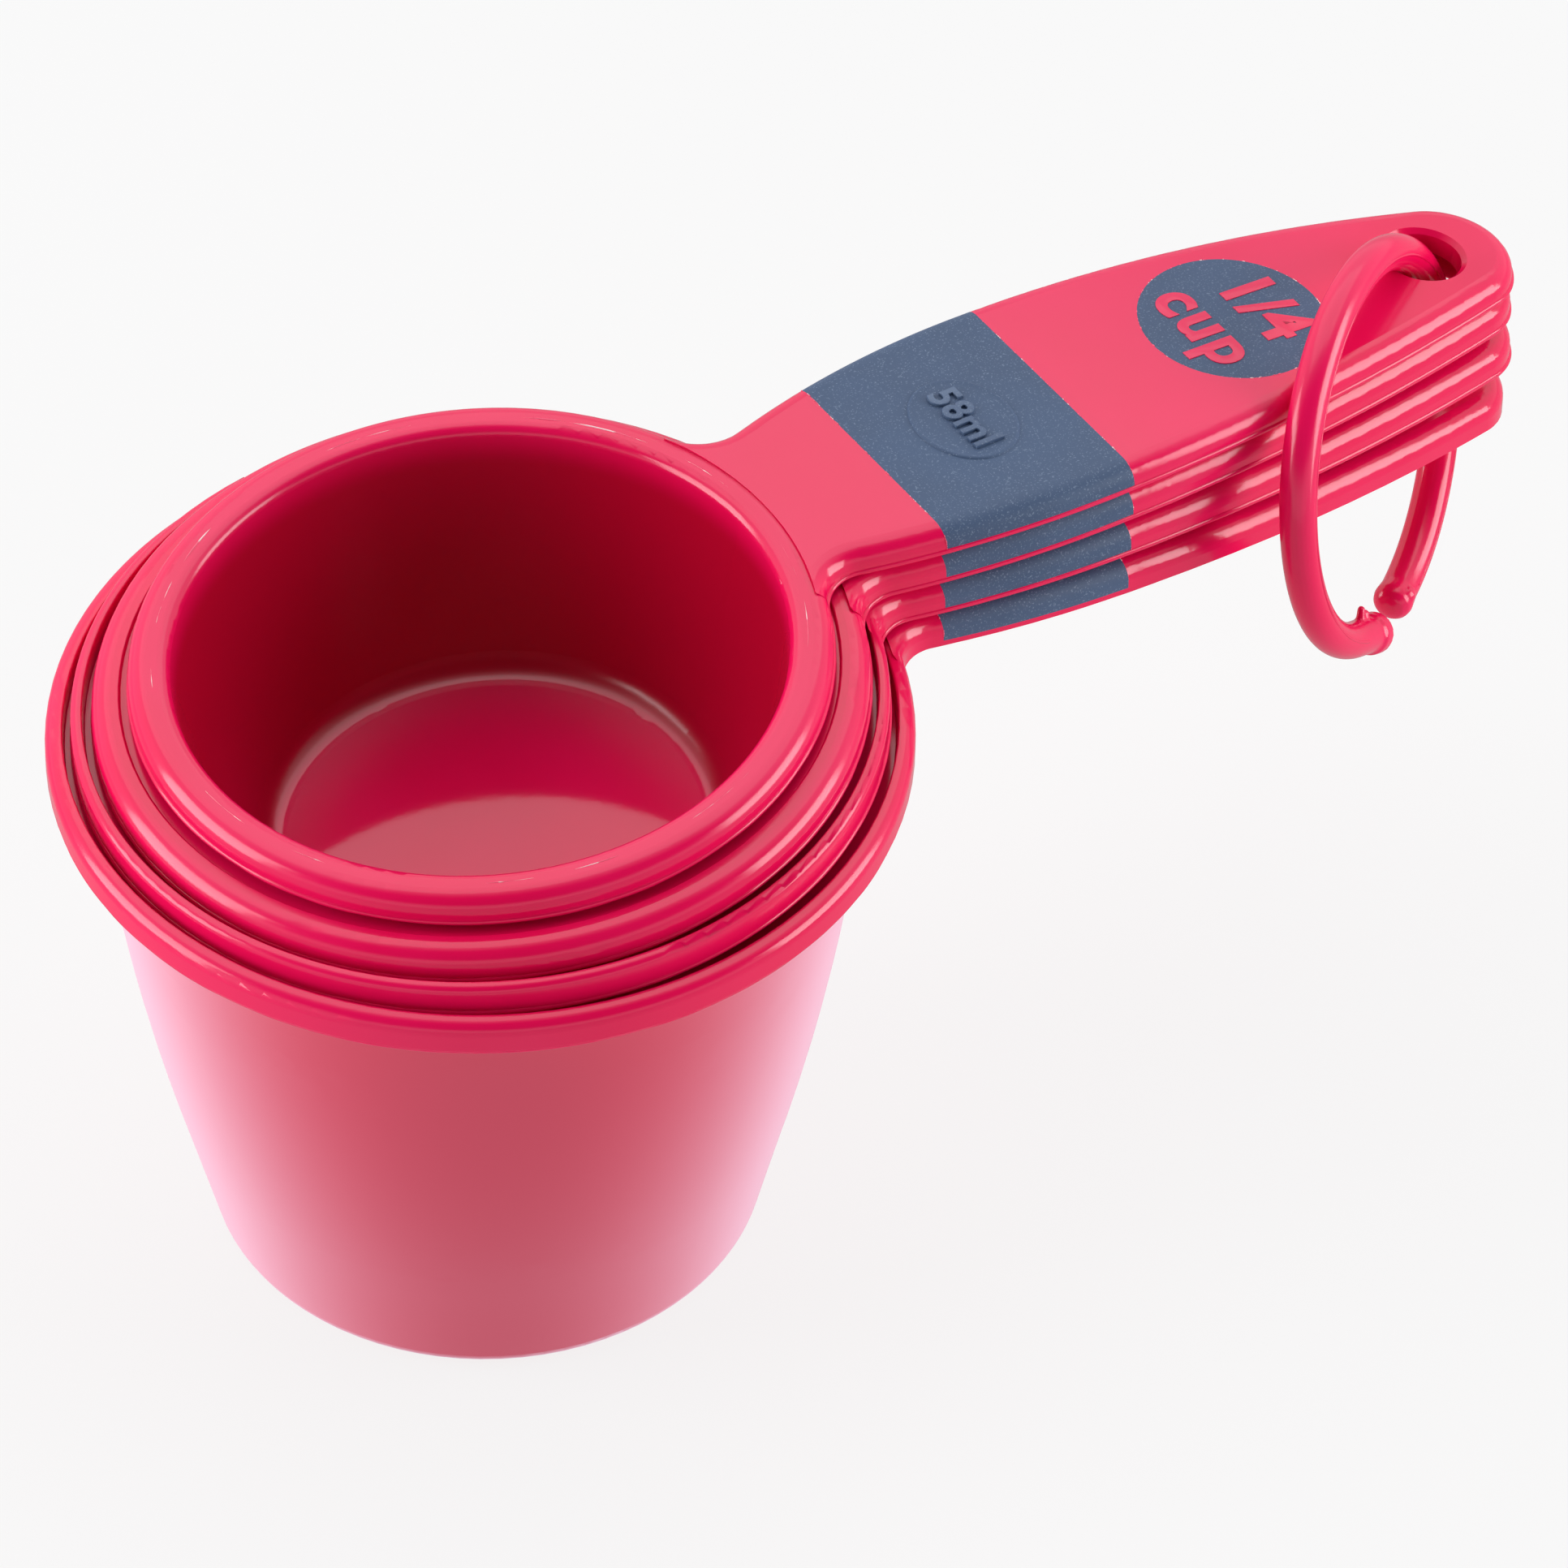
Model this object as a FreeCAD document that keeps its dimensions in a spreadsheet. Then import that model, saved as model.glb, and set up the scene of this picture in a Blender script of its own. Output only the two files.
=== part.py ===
import FreeCAD, Part
import math
import os

# Nested set of four measuring cups on a snap ring. Millimetres, +Z up, +X along the handles.
# The origin is the centre of the underside of the largest cup.

Vector = FreeCAD.Vector
Rotation = FreeCAD.Rotation
Placement = FreeCAD.Placement

PARTS_DIR = "parts"
EDGE_X = Vector(1, 0, 0)
EDGE_Y = Vector(0, 1, 0)
UP = Vector(0, 0, 1)
LAY_XZ = Placement(Vector(0, 0, 0), Rotation(EDGE_X, 90))

os.makedirs(PARTS_DIR, exist_ok=True)
doc = FreeCAD.newDocument("measuring_cup_set")
sheet = doc.addObject("Spreadsheet::Sheet", "sizes")

# ---- driving sizes -------------------------------------------------------------------

SHARED = {
    "handle_core_wall": 1.8,
    "handle_round": 2.0,
    "handle_bend_radius": 643.0,
    "handle_end_drop": 11.8,
    "handle_widest_at": 65.5,
    "handle_half_width": 14.9,
    "handle_side_radius_near": 110.0,
    "handle_side_radius_far": 200.0,
    "neck_round": 5.0,
    "hole_radius": 4.1,
    "hole_edge": 0.5,
    "drop_at": 118.1,
    "hole_boss_wall": 2.6,
    "band_from": 46.7,
    "band_to": 68.4,
    "band_thick": 0.9,
    "bead_height": 0.65,
    "disc_at": 91.15,
    "disc_radius": 9.75,
    "disc_thick": 0.8,
    "mouth_round": 1.3,
    "floor_round_inside": 3.2,
    "floor_round_outside": 2.2,
    "ring_radius": 20.2,
    "ring_wire_radius": 1.95,
    "ring_x": 102.15,
    "ring_y": -10.65,
    "ring_z": 57.45,
    "ring_facing": 123.3,
    "ring_lean": -10.3,
    "ring_open_angle": 32.0,
    "ring_nub_radius": 2.3,
    "ring_tail": 5.4,
    "ring_tail_radius": 2.25,
}

# One row per cup, smallest first.
CUPS = {
    "quarter": {
        "crown_z": 73.8, "tilt": 3.4, "mouth": 30.8, "waist": 28.6, "floor": 23.3, "depth": 27.0,
        "bulge_radius": 95.0, "wall": 1.5, "floor_wall": 1.5, "lip": 34.9, "lip_drop": 3.2,
        "lip_round": 1.9, "step": 0.0, "step_depth": 0.0, "handle_thick": 3.0, "reach": 117.1,
        "hole_at": 115.4,
    },
    "third": {
        "crown_z": 70.2, "tilt": 3.4, "mouth": 32.6, "waist": 30.3, "floor": 24.6, "depth": 29.5,
        "bulge_radius": 95.0, "wall": 1.5, "floor_wall": 1.5, "lip": 38.6, "lip_drop": 3.6,
        "lip_round": 2.0, "step": 35.6, "step_depth": 0.4, "handle_thick": 3.5, "reach": 117.1,
        "hole_at": 117.8,
    },
    "half": {
        "crown_z": 67.2, "tilt": 1.8, "mouth": 35.0, "waist": 32.3, "floor": 25.6, "depth": 40.0,
        "bulge_radius": 140.0, "wall": 1.5, "floor_wall": 1.5, "lip": 40.6, "lip_drop": 3.6,
        "lip_round": 0.8, "step": 39.3, "step_depth": 2.2, "handle_thick": 3.5, "reach": 118.2,
        "hole_at": 118.9,
    },
    "full": {
        "crown_z": 64.0, "tilt": 0.0, "mouth": 37.3, "waist": 34.2, "floor": 26.6, "depth": 62.2,
        "bulge_radius": 300.0, "wall": 1.6, "floor_wall": 1.8, "lip": 43.2, "lip_drop": 3.6,
        "lip_round": 1.5, "step": 41.3, "step_depth": 2.1, "handle_thick": 3.5, "reach": 118.2,
        "hole_at": 119.0,
    },
}


def fill_sheet():
    """Write every driving size with its word alias, then recompute so the aliases resolve."""
    rows = dict(SHARED)
    for cup, sizes in CUPS.items():
        for name, value in sizes.items():
            rows[cup + "_" + name] = value
    for index, (name, value) in enumerate(rows.items(), start=1):
        sheet.set("A%d" % index, name)
        sheet.set("B%d" % index, str(value))
        sheet.setAlias("B%d" % index, name)
    doc.recompute()


def size(name):
    return float(sheet.get(name))


def bind(obj, prop, expression):
    obj.setExpression(prop, expression)


# ---- sketch helpers ------------------------------------------------------------------

def rounded_outline(corners):
    """Closed outline from (u, v, radius) corners, as lines and tangent arcs."""
    points = [Vector(u, v, 0) for u, v, _ in corners]
    count = len(points)
    cuts = []
    for index, (_, _, radius) in enumerate(corners):
        here = points[index]
        back = (points[index - 1] - here).normalize()
        ahead = (points[(index + 1) % count] - here).normalize()
        if radius <= 0:
            cuts.append((here, None, here))
            continue
        half = back.getAngle(ahead) / 2
        reach = radius / math.tan(half)
        toward = (back + ahead).normalize()
        middle = here + toward * (radius / math.sin(half) - radius)
        cuts.append((here + back * reach, middle, here + ahead * reach))
    edges = []
    for index in range(count):
        start, middle, end = cuts[index]
        if middle is not None:
            edges.append(Part.Arc(start, middle, end))
        following = cuts[(index + 1) % count][0]
        if (following - end).Length > 1e-6:
            edges.append(Part.LineSegment(end, following))
    return edges


def add_sketch(label, geometry, placement):
    sketch = doc.addObject("Sketcher::SketchObject", label)
    sketch.addGeometry(geometry, False)
    sketch.Placement = placement
    return sketch


def extrude(label, sketch, direction, length_expression, symmetric):
    solid = doc.addObject("Part::Extrusion", label)
    solid.Base = sketch
    solid.DirMode = "Custom"
    solid.Dir = direction
    bind(solid, "LengthFwd", length_expression)
    solid.Symmetric = symmetric
    solid.Solid = True
    return solid


def combine(kind, label, base, tool):
    result = doc.addObject("Part::" + kind, label)
    result.Base = base
    result.Tool = tool
    return result


# ---- bowl ----------------------------------------------------------------------------

def bowl_profile(cup):
    """Half section of bowl and lip, u = radius, v = height below the crown of the lip."""
    mouth = size(cup + "_mouth")
    waist = size(cup + "_waist")
    floor = size(cup + "_floor")
    depth = size(cup + "_depth")
    wall = size(cup + "_wall")
    under = depth + size(cup + "_floor_wall")
    lip = size(cup + "_lip")
    drop = size(cup + "_lip_drop")
    bulge = size(cup + "_bulge_radius")
    step = size(cup + "_step")
    step_depth = size(cup + "_step_depth")
    corners = [
        (0, -depth, 0),
        (floor, -depth, size("floor_round_inside")),
        (waist, -depth / 2, bulge),
        (mouth, -step_depth, size("mouth_round")),
    ]
    if step > 0:
        corners += [(step, -step_depth, 0.1), (step + 0.15, 0, 0.2)]
    corners += [
        (lip, 0, size(cup + "_lip_round")),
        (lip, -drop, 0.25),
        (mouth + wall, -drop, 0),
        (waist + wall, -depth / 2, bulge),
        (floor + wall, -under, size("floor_round_outside")),
        (0, -under, 0),
    ]
    return rounded_outline(corners)


def make_bowl(cup):
    body = doc.addObject("PartDesign::Body", "bowl_body_" + cup)
    plane = [part for part in body.Origin.OriginFeatures if part.Role == "XZ_Plane"][0]
    axis = [part for part in body.Origin.OriginFeatures if part.Role == "Z_Axis"][0]
    sketch = body.newObject("Sketcher::SketchObject", "bowl_section_" + cup)
    sketch.AttachmentSupport = [(plane, "")]
    sketch.MapMode = "FlatFace"
    sketch.addGeometry(bowl_profile(cup), False)
    turned = body.newObject("PartDesign::Revolution", "bowl_" + cup)
    turned.Profile = sketch
    turned.ReferenceAxis = (axis, [""])
    turned.Angle = 360
    body.Tip = turned
    return body


# ---- handle --------------------------------------------------------------------------

def half_width(x, inset):
    """Half width of the handle at x, taken from the two side arcs that meet at its widest."""
    widest = size("handle_widest_at")
    key = "handle_side_radius_near" if x < widest else "handle_side_radius_far"
    radius = size(key)
    drop = math.sqrt((radius - inset) ** 2 - (x - widest) ** 2)
    return size("handle_half_width") - radius + drop


def side_arc(x_from, x_to, inset, side):
    middle = (x_from + x_to) / 2
    points = [Vector(x, side * half_width(x, inset), 0) for x in (x_from, middle, x_to)]
    return Part.Arc(*points)


def circle_crossing(first, first_radius, second, second_radius, lower):
    """Where two circles cross; the crossing with the greater y, or the lower one."""
    gap = second - first
    along = (gap.Length ** 2 + first_radius ** 2 - second_radius ** 2) / (2 * gap.Length)
    height = math.sqrt(first_radius ** 2 - along ** 2)
    unit = Vector(gap).normalize()
    across = Vector(-unit.y, unit.x, 0)
    base = first + unit * along
    found = sorted([base + across * height, base - across * height], key=lambda point: point.y)
    return found[0] if lower else found[1]


def end_arc(reach, inset):
    """Radius of the rounded end, and where the far side arc runs smoothly into it on the +Y side."""
    side_radius = size("handle_side_radius_far")
    side_centre = Vector(size("handle_widest_at"), size("handle_half_width") - side_radius, 0)
    toward = Vector(reach, 0, 0) - side_centre
    radius = side_radius - toward.Length - inset
    return radius, side_centre + toward.normalize() * (side_radius - inset)


def handle_plan(cup, inset):
    """Outline of the handle seen from above, from just inside the lip to the rounded end."""
    rim = size(cup + "_lip") - 0.1 - inset
    root = size(cup + "_lip") - 1.2
    widest = size("handle_widest_at")
    reach = size(cup + "_reach")
    neck = size("neck_round") + inset
    near_radius = size("handle_side_radius_near") - inset
    near_centre = Vector(widest, size("handle_half_width") - size("handle_side_radius_near"), 0)
    origin = Vector(0, 0, 0)
    fillet = circle_crossing(origin, rim + neck, near_centre, near_radius + neck, False)
    on_rim = fillet * (rim / fillet.Length)
    outward = (near_centre - fillet).normalize()
    on_side = fillet + outward * neck
    toward = ((on_rim - fillet).normalize() + outward).normalize()
    neck_middle = fillet + toward * neck
    inner = fillet * (root / fillet.Length)
    end_radius, stop = end_arc(reach, inset)
    tip = Vector(reach + end_radius, 0, 0)
    edges = []
    for side in (1, -1):
        flip = [Vector(p.x, side * p.y, 0) for p in (inner, on_rim, neck_middle, on_side)]
        edges.append(Part.LineSegment(flip[0], flip[1]))
        edges.append(Part.Arc(flip[1], flip[2], flip[3]))
        edges.append(side_arc(on_side.x, widest, inset, side))
        edges.append(side_arc(widest, stop.x, inset, side))
    edges.append(Part.Arc(Vector(stop.x, stop.y, 0), tip, Vector(stop.x, -stop.y, 0)))
    edges.append(Part.Arc(inner, Vector(root, 0, 0), Vector(inner.x, -inner.y, 0)))
    return edges


def bend_centre(cup):
    """Centre of the arc the top of the handle follows, in the XZ plane."""
    radius = size("handle_bend_radius")
    start = Vector(size(cup + "_lip") - 1.0, 0, 0)
    end = Vector(size("drop_at"), -size("handle_end_drop"), 0)
    return circle_crossing(start, radius, end, radius, True)


def bend_height(cup, x, depth):
    centre = bend_centre(cup)
    radius = size("handle_bend_radius") - depth
    return centre.y + math.sqrt(radius ** 2 - (x - centre.x) ** 2)


def bend_slope(cup, x):
    """Downward angle of the handle's top at x, in degrees."""
    centre = bend_centre(cup)
    return math.degrees(math.asin((x - centre.x) / size("handle_bend_radius")))


def bent_band(cup, x_from, x_to, top_depth, bottom_depth):
    """Side outline of a layer of the handle that follows its bend."""
    middle = (x_from + x_to) / 2
    rows = []
    for depth in (top_depth, bottom_depth):
        rows.append([Vector(x, bend_height(cup, x, depth), 0) for x in (x_from, middle, x_to)])
    top, bottom = rows
    return [
        Part.Arc(*top),
        Part.LineSegment(top[2], bottom[2]),
        Part.Arc(bottom[2], bottom[1], bottom[0]),
        Part.LineSegment(bottom[0], top[0]),
    ]


def handle_layer(cup, label, inset, side_outline):
    """A prism of the handle's plan cut to a side outline."""
    plan = add_sketch("plan_" + label, handle_plan(cup, inset), Placement(Vector(0, 0, 5), Rotation()))
    column = extrude("column_" + label, plan, Vector(0, 0, -1), "30", False)
    side = add_sketch("side_" + label, side_outline, LAY_XZ)
    slab = extrude("slab_" + label, side, EDGE_Y, "2 * sizes.handle_half_width + 6", True)
    return combine("Common", "layer_" + label, column, slab)


def top_edges(shape, cup):
    """Numbers of the edges round the top face of the handle, leaving out the root."""
    root = size(cup + "_lip") - 0.1
    chosen = []
    for number, edge in enumerate(shape.Edges, start=1):
        points = edge.discretize(5)
        on_top = all(abs(p.z - bend_height(cup, p.x, 0)) < 0.01 for p in points)
        outside = all(math.hypot(p.x, p.y) > root - 0.01 for p in points)
        if on_top and outside:
            chosen.append(number)
    return chosen


def make_handle_blank(cup):
    """Solid handle with its top edge rounded, before the grip, disc and hollow are cut."""
    thick = size(cup + "_handle_thick")
    root = size(cup + "_lip") - 4
    outline = bent_band(cup, root, 132, 0, thick)
    layer = handle_layer(cup, "blank_" + cup, 0, outline)
    doc.recompute()
    rounded = doc.addObject("Part::Fillet", "handle_blank_" + cup)
    rounded.Base = layer
    radius = size("handle_round")
    rounded.Edges = [(number, radius, radius) for number in top_edges(layer.Shape, cup)]
    doc.recompute()
    return rounded


def box_between(label, x_from, x_to):
    """Tall block across the handle between two sizes of the sheet."""
    block = doc.addObject("Part::Box", label)
    bind(block, "Length", "(sizes.%s - sizes.%s) * 1 mm" % (x_to, x_from))
    block.Width = 60
    block.Height = 60
    bind(block, "Placement.Base.x", "sizes.%s * 1 mm" % x_from)
    block.Placement.Base.y = -30
    block.Placement.Base.z = -40
    return block


def make_grip_band(cup, blank):
    """Soft sleeve over the top and both sides of the handle; a thin bead is left below it."""
    thick = size(cup + "_handle_thick")
    sleeve = size("band_thick")
    x_from = size("band_from")
    x_to = size("band_to")
    block = box_between("band_reach_" + cup, "band_from", "band_to")
    ring = combine("Common", "band_outer_" + cup, blank, block)
    core_side = bent_band(cup, x_from - 5, x_to + 5, sleeve, thick + 8)
    core = handle_layer(cup, "band_core_" + cup, sleeve, core_side)
    open_ring = combine("Cut", "band_open_" + cup, ring, core)
    bead_side = bent_band(cup, x_from - 5, x_to + 5, thick - size("bead_height"), thick + 8)
    bead_sketch = add_sketch("bead_side_" + cup, bead_side, LAY_XZ)
    bead = extrude("bead_" + cup, bead_sketch, EDGE_Y, "2 * sizes.handle_half_width + 6", True)
    return combine("Cut", "grip_band_" + cup, open_ring, bead)


def make_label_disc(cup, blank):
    round_bar = doc.addObject("Part::Cylinder", "disc_bar_" + cup)
    bind(round_bar, "Radius", "sizes.disc_radius * 1 mm")
    round_bar.Height = 60
    bind(round_bar, "Placement.Base.x", "sizes.disc_at * 1 mm")
    round_bar.Placement.Base.z = -40
    capped = combine("Common", "disc_outer_" + cup, blank, round_bar)
    thick = size(cup + "_handle_thick")
    below = bent_band(cup, size("disc_at") - 20, size("disc_at") + 20, size("disc_thick"), thick + 8)
    below_sketch = add_sketch("disc_side_" + cup, below, LAY_XZ)
    floor = extrude("disc_floor_" + cup, below_sketch, EDGE_Y, "60", True)
    return combine("Cut", "label_disc_" + cup, capped, floor)


def make_handle_hollow(cup):
    """Recess in the underside that keeps the handle wall even."""
    wall = size("handle_core_wall")
    thick = size(cup + "_handle_thick")
    x_from = size(cup + "_lip") + 1.5
    x_to = size(cup + "_hole_at") - size("hole_radius") - size("hole_boss_wall")
    widest = size("handle_widest_at")
    edges = []
    for side in (1, -1):
        edges.append(side_arc(x_from, widest, wall, side))
        edges.append(side_arc(widest, x_to, wall, side))
    for x in (x_from, x_to):
        width = half_width(x, wall)
        edges.append(Part.LineSegment(Vector(x, width, 0), Vector(x, -width, 0)))
    plan = add_sketch("hollow_plan_" + cup, edges, Placement(Vector(0, 0, 5), Rotation()))
    column = extrude("hollow_column_" + cup, plan, Vector(0, 0, -1), "40", False)
    side = add_sketch("hollow_side_" + cup, bent_band(cup, x_from - 2, x_to + 2, wall, thick + 8), LAY_XZ)
    slab = extrude("hollow_slab_" + cup, side, EDGE_Y, "60", True)
    return combine("Common", "hollow_" + cup, column, slab)


def make_hole(cup):
    """Bar for the hole near the tip, square to the handle's top, with both its edges eased."""
    x = size(cup + "_hole_at")
    thick = size(cup + "_handle_thick")
    radius = size("hole_radius")
    edge = size("hole_edge")
    turn = Rotation(EDGE_Y, bend_slope(cup, x))
    across = turn.multVec(UP)
    top = Vector(x, 0, bend_height(cup, x, 0))
    bar = doc.addObject("Part::Cylinder", "hole_bar_" + cup)
    bind(bar, "Radius", "sizes.hole_radius * 1 mm")
    bar.Height = 20
    bar.Placement = Placement(top - across * 12, turn)
    pieces = [bar]
    for name, sign, start in (("top", 1, top - across * edge), ("under", -1, top - across * (thick - edge))):
        cone = doc.addObject("Part::Cone", "hole_%s_%s" % (name, cup))
        cone.Radius1 = radius
        cone.Radius2 = radius + 3 * edge
        cone.Height = 3 * edge
        flip = turn if sign > 0 else turn.multiply(Rotation(EDGE_X, 180))
        cone.Placement = Placement(start, flip)
        pieces.append(cone)
    joined = doc.addObject("Part::MultiFuse", "hole_" + cup)
    joined.Shapes = pieces
    return joined


# ---- snap ring -----------------------------------------------------------------------

def ring_frame():
    """Centre of the ring and its three directions: lowest point, sideways, and the ring's axis."""
    facing = math.radians(size("ring_facing"))
    lean = math.radians(size("ring_lean"))
    flat = math.cos(lean)
    normal = Vector(flat * math.cos(facing), flat * math.sin(facing), math.sin(lean))
    low = (normal * normal.z - UP).normalize()
    side = normal.cross(low)
    centre = Vector(size("ring_x"), size("ring_y"), size("ring_z"))
    return centre, low, side, normal


def make_snap_ring():
    """Split wire ring: a rounded nub at one end, a straight flat-cut tail with a catch at the other."""
    centre, low, side, normal = ring_frame()
    opening = math.radians(size("ring_open_angle"))
    outward = low * math.cos(opening) + side * math.sin(opening)
    ahead = (low * math.sin(opening) - side * math.cos(opening)).normalize()
    loop = doc.addObject("Part::Torus", "ring_loop")
    bind(loop, "Radius1", "sizes.ring_radius * 1 mm")
    bind(loop, "Radius2", "sizes.ring_wire_radius * 1 mm")
    bind(loop, "Angle3", "(360 - sizes.ring_open_angle) * 1 deg")
    loop.Placement = Placement(centre, Rotation(outward, normal.cross(outward), normal, "ZXY"))
    nub = doc.addObject("Part::Sphere", "ring_nub")
    bind(nub, "Radius", "sizes.ring_nub_radius * 1 mm")
    nub.Placement.Base = centre + low * size("ring_radius")
    tail_start = centre + outward * size("ring_radius")
    tail_turn = Rotation(outward, normal, ahead, "ZXY")
    tail = doc.addObject("Part::Cylinder", "ring_tail")
    bind(tail, "Radius", "sizes.ring_wire_radius * 1 mm")
    bind(tail, "Height", "sizes.ring_tail * 1 mm")
    tail.Placement = Placement(tail_start, tail_turn)
    collar = doc.addObject("Part::Cylinder", "ring_collar")
    bind(collar, "Radius", "sizes.ring_tail_radius * 1 mm")
    collar.Height = 1.6
    collar.Placement = Placement(tail_start + ahead * (size("ring_tail") - 1.6), tail_turn)
    catch = doc.addObject("Part::Box", "ring_catch")
    catch.Length = 1.6
    catch.Width = 2.0
    catch.Height = 3.4
    corner = tail_start + ahead * 0.9 - outward * 3.2 - normal * 1.0
    catch.Placement = Placement(corner, tail_turn)
    ring = doc.addObject("Part::MultiFuse", "ring_whole")
    ring.Shapes = [loop, nub, tail, collar, catch]
    dimple = doc.addObject("Part::Cylinder", "ring_dimple")
    dimple.Radius = 0.55
    dimple.Height = 2
    dimple.Placement = Placement(tail_start + ahead * (size("ring_tail") - 0.8), tail_turn)
    return combine("Cut", "snap_ring", ring, dimple)


def cut_all(label, base, tools):
    result = base
    for number, tool in enumerate(tools, start=1):
        result = combine("Cut", "%s_cut_%d" % (label, number), result, tool)
    return result


def place_in_set(obj, cup):
    """Stand a cup, or a part moulded onto it, at its place in the nested set."""
    turn = Rotation(EDGE_Y, -size(cup + "_tilt"))
    obj.Placement = Placement(Vector(0, 0, size(cup + "_crown_z")), turn)


def make_cup(cup):
    """Bowl, lip and handle as one moulding, with its two soft inlays, all level at the crown."""
    bowl = make_bowl(cup)
    blank = make_handle_blank(cup)
    band = make_grip_band(cup, blank)
    disc = make_label_disc(cup, blank)
    handle = cut_all("handle_" + cup, blank, [band, disc, make_handle_hollow(cup), make_hole(cup)])
    moulding = doc.addObject("Part::MultiFuse", "cup_" + cup)
    moulding.Shapes = [bowl, handle]
    return {"cup_" + cup: moulding, "grip_band_" + cup: band, "label_disc_" + cup: disc}


def carry_out():
    nodes = {}
    for cup in CUPS:
        made = make_cup(cup)
        doc.recompute()
        for label, feature in made.items():  # the moulded parts share features, so placed copies are made
            feature.Label = label + "_as_moulded"
            holder = doc.addObject("Part::Feature", label)
            holder.Label = label
            holder.Shape = feature.Shape
            place_in_set(holder, cup)
            nodes[label] = holder
    nodes["snap_ring"] = make_snap_ring()
    return nodes


def check_and_export(nodes):
    doc.recompute()
    for obj in doc.Objects:
        states = " ".join(obj.State)
        if "Invalid" in states or "Error" in states:
            raise RuntimeError("%s did not compute: %s" % (obj.Label, states))
    for label, obj in nodes.items():
        shape = obj.Shape
        if shape.isNull() or not shape.isValid():
            raise RuntimeError("%s has no valid shape" % label)
        print(label, len(shape.Solids), "solid", round(shape.Volume), "mm3")
        shape.exportStep(os.path.join(PARTS_DIR, label + ".step"))


fill_sheet()
check_and_export(carry_out())
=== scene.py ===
import math
import bpy
import bmesh
from mathutils import Matrix, Vector


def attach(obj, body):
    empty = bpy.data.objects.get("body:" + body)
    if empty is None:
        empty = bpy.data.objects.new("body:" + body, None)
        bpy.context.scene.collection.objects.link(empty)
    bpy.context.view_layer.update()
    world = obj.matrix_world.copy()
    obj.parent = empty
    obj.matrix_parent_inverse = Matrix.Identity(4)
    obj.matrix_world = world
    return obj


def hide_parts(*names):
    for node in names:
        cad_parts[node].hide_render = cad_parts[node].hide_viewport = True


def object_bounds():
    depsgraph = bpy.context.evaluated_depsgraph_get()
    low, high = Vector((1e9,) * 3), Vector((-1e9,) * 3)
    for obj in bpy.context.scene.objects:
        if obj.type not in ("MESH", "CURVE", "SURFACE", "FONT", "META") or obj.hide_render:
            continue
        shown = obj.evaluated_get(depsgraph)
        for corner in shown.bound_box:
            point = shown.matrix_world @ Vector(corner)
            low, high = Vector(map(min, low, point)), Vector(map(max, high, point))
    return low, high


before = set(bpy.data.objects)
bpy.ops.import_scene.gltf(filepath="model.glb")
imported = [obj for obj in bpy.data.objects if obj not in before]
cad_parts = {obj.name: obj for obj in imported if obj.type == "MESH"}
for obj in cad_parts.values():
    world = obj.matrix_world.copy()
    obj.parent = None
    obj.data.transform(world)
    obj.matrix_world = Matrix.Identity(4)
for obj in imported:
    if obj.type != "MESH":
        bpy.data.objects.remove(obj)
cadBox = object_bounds()
scene = bpy.context.scene
mm = 0.001
print("stage: frame loaded")

# ---- sizes that the cups share with the frame, in millimetres ----

handle = {
    "widestAt": 65.5,
    "halfWidth": 14.9,
    "nearRadius": 110.0,  # side arc between the neck and the widest place
    "farRadius": 200.0,  # side arc from there to the tip
    "neckRound": 5.0,
    "bendRadius": 643.0,
    "endDrop": 11.8,
    "dropAt": 118.1,
    "bandFrom": 46.7,
    "bandTo": 68.4,
    "edgeRound": 2.0,
    "discAt": 91.15,
    "discRadius": 9.75,
}

cups = {
    "quarter": {
        "mouth": 30.8, "lip": 34.9,  # radius of the opening and of the lip
        "crown": 73.8, "tilt": 3.4,  # height of the lip's top in the set, and the lean of the cup in degrees
        "lipDrop": 3.2, "thick": 3.0, "reach": 117.1,
        "part": "1/4", "volume": "58ml",
    },
    "third": {
        "mouth": 32.6, "lip": 38.6,
        "crown": 70.2, "tilt": 3.4,
        "lipDrop": 3.6, "thick": 3.5, "reach": 117.1,
        "part": "1/3", "volume": "79ml",
    },
    "half": {
        "mouth": 35.0, "lip": 40.6,
        "crown": 67.2, "tilt": 1.8,
        "lipDrop": 3.6, "thick": 3.5, "reach": 118.2,
        "part": "1/2", "volume": "118ml",
    },
    "full": {
        "mouth": 37.3, "lip": 43.2,
        "crown": 64.0, "tilt": 0.0,
        "lipDrop": 3.6, "thick": 3.5, "reach": 118.2,
        "part": "1", "volume": "237ml",
    },
}


# ---- shader groups used by several materials ----

def addSocket(tree, name, inOut, kind, value=None):
    socket = tree.interface.new_socket(name=name, in_out=inOut, socket_type=kind)
    if value is not None:
        socket.default_value = value
    return socket


def shaderGroup(name, inputs, outputs):
    tree = bpy.data.node_groups.new(name, "ShaderNodeTree")
    for label, kind, value in inputs:
        addSocket(tree, label, "INPUT", kind, value)
    for label, kind in outputs:
        addSocket(tree, label, "OUTPUT", kind)
    start = tree.nodes.new("NodeGroupInput")
    end = tree.nodes.new("NodeGroupOutput")
    return tree, start, end


def mathNode(tree, operation, first, second=None):
    node = tree.nodes.new("ShaderNodeMath")
    node.operation = operation
    for index, value in enumerate((first, second)):
        if value is None:
            continue
        if hasattr(value, "links"):
            tree.links.new(value, node.inputs[index])
        else:
            node.inputs[index].default_value = value
    return node.outputs[0]


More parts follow.
